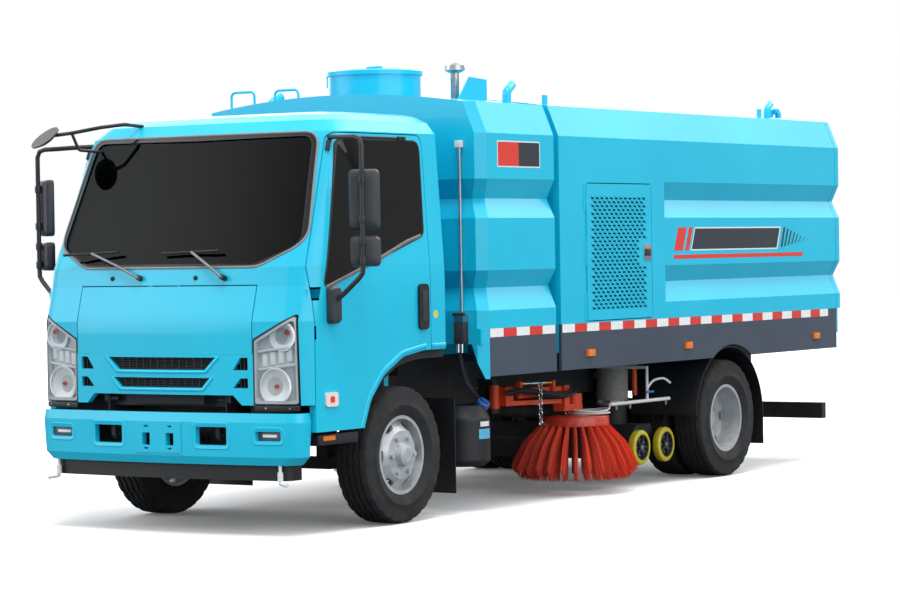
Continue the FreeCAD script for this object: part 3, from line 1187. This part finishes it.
def access_doors():
    """Perforated louvre door over the plant bay, hinged at its front edge, with a latch."""
    x = (BODY_HALF_W - ACCESS_T, BODY_HALF_W)
    leaf = prism_x(
        [
            (ACCESS_Y0, ACCESS_Z0, 24.0), (ACCESS_Y0, ACCESS_Z1, 24.0), (ACCESS_Y1, ACCESS_Z1, 24.0),
            (ACCESS_Y1, ACCESS_Z0, 24.0),
        ],
        x,
    )
    y0, y1, z0, z1 = SLOT_FIELD
    pitch_y = (y1 - y0) / SLOT_COLUMNS
    pitch_z = (z1 - z0) / SLOT_ROWS
    slots = []
    for row in range(SLOT_ROWS):
        shift = pitch_y * 0.25 * (1 if row % 2 else -1)
        columns = SLOT_COLUMNS - (1 if SLOT_ROWS * 0.35 < row < SLOT_ROWS * 0.6 else 0)
        for column in range(columns):
            y = y0 + pitch_y * (column + 0.5) + shift * 0.5
            z = z0 + pitch_z * (row + 0.5)
            half = pitch_y * 0.36
            end = SLOT_H / 2
            slots.append(prism_x([(y - half, z), (y - half + end, z + end), (y + half - end, z + end),
                (y + half, z),
                                  (y + half - end, z - end), (y - half + end, z - end)], (x[0] - 2,
                                  x[1] + 2)))
    leaf = leaf.cut(slots)
    leaf, knuckles = access_hinge(leaf)
    body = NODES["waste_body"]
    save("waste_body", fuse(body, *knuckles, *[mirrored(k) for k in knuckles]))
    latch = box((BODY_HALF_W - 1, BODY_HALF_W + 14), (ACCESS_Y1 - 118, ACCESS_Y1 - 22), (1491, 1596))
    leaf = fuse(leaf, latch)
    save("access_door_left", leaf)
    save("access_door_right", mirrored(leaf))


# ---------------------------------------------------------------- below the body
def rear_fittings():
    """Mudguards over the twin wheels, their flaps, and the underrun bar."""
    x = (545, BODY_HALF_W - 25)
    ring = Part.makeCylinder(MUDGUARD_R + MUDGUARD_T, x[1] - x[0], V(x[0], REAR_AXLE_Y, TYRE_R), V(1, 0, 0))
    ring = ring.cut(Part.makeCylinder(MUDGUARD_R, x[1] - x[0], V(x[0], REAR_AXLE_Y, TYRE_R), V(1, 0, 0)))
    ring = ring.cut(box((0, 2000), (REAR_AXLE_Y - 900, REAR_AXLE_Y + 900), (-200, 440)))
    flap = box(x, (REAR_AXLE_Y + MUDGUARD_R - 2, REAR_AXLE_Y + MUDGUARD_R + MUDGUARD_T - 1), (192, 470))
    stays = [rod(16, (RAIL_X + RAIL_W / 2 + SEAT_GAP, REAR_AXLE_Y + at, 612), (x[0] + 40, REAR_AXLE_Y + at, 612))
             for at in (-440, 440)]
    save("mudguards", *both_sides(fuse(ring, flap, *stays)), *front_mudflaps(), front_valance())

    bar = box((-947, 947), (REAR_Y - 64, REAR_Y), (300, 415))
    leg_line = [
        (REAR_Y - 64, 380), (REAR_Y - 20, 380), (BIN_PIVOT_Y - 60, RAIL_Z0 - SEAT_GAP),
        (BIN_PIVOT_Y - 200, RAIL_Z0 - SEAT_GAP),
    ]
    legs = [prism_x(leg_line, (s * RAIL_X - 20, s * RAIL_X + 20)) for s in (-1, 1)]
    save("underrun_bar", fuse(bar, *legs))


def side_tanks():
    """Additive bottle on the left and fuel tank on the right, hung from the rails."""
    bottle = turned_z(
        [(0, 273), (120, 273), (160, 300, 30.0), (160, 560, 50.0), (120, 640), (0, 640)], 0, 0,
    )
    bottle.translate(V(800, f(850), 0))
    cap = rod(36, (850, f(930), 590), (880, f(960), 655))
    hanger = box((RAIL_X + RAIL_W / 2 + SEAT_GAP, 700), (f(810), f(890)), (RAIL_Z0 - 20, RAIL_Z0 + 25))
    bottle = fuse(bottle, cap, hanger)
    tank = prism_x(
        [(f(640), 360, 60.0), (f(640), 700, 60.0), (f(1380), 700, 60.0), (f(1380), 360, 60.0)],
        (-900, -520),
    )
    strap = box((-520 - 1, -RAIL_X - RAIL_W / 2 - SEAT_GAP), (f(760), f(820)), (640, 680))
    strap2 = box((-520 - 1, -RAIL_X - RAIL_W / 2 - SEAT_GAP), (f(1200), f(1260)), (640, 680))
    save("side_tanks", bottle, fuse(tank, strap, strap2))


def brushes():
    """Disc brush on a swinging parallelogram arm, one each side."""
    px, py = ARM_PIVOT_X, ARM_PIVOT_Y
    sleeve = rod(
        34, (px, py, 570 + SEAT_GAP), (px, py, 720 - SEAT_GAP),
    ).cut(rod(18 + RUN_GAP, (px, py, 500), (px, py, 800)))
    bx, by = BRUSH_X, BRUSH_Y
    root = box((px - 30, px + 75), (py + 20, py + 110), (585, 705))
    links = []
    for z in (600, 680):
        links.append(
            prism_z(
                [(px + 20, py + 60), (bx - 40, by - 150), (bx + 40, by - 150), (px + 75, py + 60)],
                (z - 14, z + 14),
            )
        )
    carrier = fuse(
        box((bx - 45, bx + 45), (by - 190, by - 130), (560, 700)),
        box((bx - 40, bx + 40), (by - 190, by + 40), (535, 575)),
    )
    motor = rod(52, (bx, by, 535), (bx, by, 640))
    spindle = rod(22, (bx, by, 455), (bx, by, 560))
    cylinder = rod(17, (px + 80, py + 140, 640), (bx - 60, by - 140, 640))
    arm = fuse(sleeve, root, *links, carrier, motor, spindle, cylinder)
    arm = arm.cut(rod(18 + RUN_GAP, (px, py, 500), (px, py, 800)))
    save("brush_arm_left", arm)
    save("brush_arm_right", mirrored(arm))

    z0, z1 = BRUSH_RING_Z
    ring = turned_z(
        [
            (22 + RUN_GAP, z0 + 20), (22 + RUN_GAP, z1 - 10), (BRUSH_RING_R, z1), (BRUSH_RING_R, z0),
            (BRUSH_RING_R - 60, z0), (BRUSH_RING_R - 60, z0 + 20),
        ],
        0, 0,
    )
    tufts = []
    for i in range(BRUSH_TUFTS):
        blade = prism_y([(BRUSH_RING_R - 50, z0 + 10), (BRUSH_RING_R - 4, z0 + 10),
            (BRUSH_TIP_R, BRUSH_TIP_Z + 70), (BRUSH_TIP_R - 6, BRUSH_TIP_Z),
                         (BRUSH_TIP_R - 110, BRUSH_TIP_Z)], (-9, 9))
        blade.rotate(V(0, 0, 0), V(0, 0, 1), 360.0 / BRUSH_TUFTS * i)
        tufts.append(blade)
    head = fuse(ring, *tufts)
    head.translate(V(bx, by, 0))
    save("disc_brush_left", head)
    save("disc_brush_right", mirrored(head))


def suction_gear():
    """Suction nozzle across the vehicle on four casters, with its sleeves and wash pipes."""
    y0, y1 = CASTER_YS[0] - 60, CASTER_YS[1] + 60
    mid_y = (CASTER_YS[0] + CASTER_YS[1]) / 2
    neck_r = SLEEVE_R - 12
    hood = prism_x(
        [
            (y0 + 60, 170), (y0 + 60, 300, 30.0), (mid_y - 70, 395), (mid_y + 130, 395),
            (y1 - 60, 300, 30.0), (y1 - 60, 170),
        ],
        (-800, 800),
    )
    mouth = prism_x([(y0 + 80, 160), (y0 + 80, 290), (y1 - 80, 290), (y1 - 80, 160)], (-780, 780))
    hood = hood.cut(mouth)
    necks = [rod(neck_r, (s * SLEEVE_X, SLEEVE_Y, 300), (s * SLEEVE_X, SLEEVE_Y, 700)) for s in (-1, 1)]
    bores = [rod(neck_r - 8, (s * SLEEVE_X, SLEEVE_Y, 200), (s * SLEEVE_X, SLEEVE_Y, 720)) for s in (-1, 1)]
    pins = []
    for s in (-1, 1):
        for y in CASTER_YS:
            pins.append(rod(10, (s * 790, y, CASTER_ZC), (s * (CASTER_X + 24), y, CASTER_ZC)))
    save("suction_nozzle", fuse(hood, *necks, *pins).cut(bores))
    for s, side in ((1, "left"), (-1, "right")):
        for place, y in zip(("front", "rear"), CASTER_YS):
            wheel = turned_x([(CASTER_X - 25, 10 + RUN_GAP), (CASTER_X - 25, 40), (CASTER_X - 12, 60),
                (CASTER_X - 22, CASTER_R - 18),
                              (CASTER_X - 14, CASTER_R), (CASTER_X + 14, CASTER_R), (CASTER_X + 22, CASTER_R - 18), (CASTER_X + 12, 60),
                              (CASTER_X + 25, 40), (CASTER_X + 25, 10 + RUN_GAP)], y, CASTER_ZC)
            save("caster_%s_%s" % (place, side), wheel if s > 0 else mirrored(wheel))
    sleeves = []
    for s in (-1, 1):
        sleeve = rod(SLEEVE_R, (s * SLEEVE_X, SLEEVE_Y, 520), (s * SLEEVE_X, SLEEVE_Y, SUBFRAME_Z1 - 100))
        sleeve = sleeve.cut(
            rod(neck_r + RUN_GAP, (s * SLEEVE_X, SLEEVE_Y, 500), (s * SLEEVE_X, SLEEVE_Y, 1000))
        )
        stay = box((RAIL_X + RAIL_W / 2 + SEAT_GAP, SLEEVE_X), (SLEEVE_Y - 20, SLEEVE_Y + 20),
            (700, 740)).cut(
            rod(neck_r + 8, (SLEEVE_X, SLEEVE_Y, 500), (SLEEVE_X, SLEEVE_Y, 1000)))
        stay = stay if s > 0 else mirrored(stay)
        sleeves.append(fuse(sleeve, stay))
    save("suction_sleeves", *sleeves)
    pipes = []
    for s in (-1, 1):
        pipe = tube([(s * 900, f(2440), 560), (s * 900, f(3226), 560)], 12.0, 10.0)
        drop = rod(10, (s * 900, f(2930), 560), (s * 900, f(2930), 790))
        reach = rod(10, (s * 906, f(2930), 780), (s * (RAIL_X + RAIL_W / 2 + SEAT_GAP), f(2930), 780))
        pipes.append(fuse(pipe, drop, reach))
    save("wash_lines", *pipes, *front_nozzles())


# ---------------------------------------------------------------- build
front_wheels()
rear_wheels()
front_axle()
rear_axle()
chassis()
cab()
cab_inside()
cab_outside()
wipers()
bumper()
water_tank()
waste_body()
access_doors()
rear_fittings()
side_tanks()
brushes()
suction_gear()

os.makedirs("parts", exist_ok=True)
for name, shape in NODES.items():
    shape.exportStep("parts/%s.step" % name)
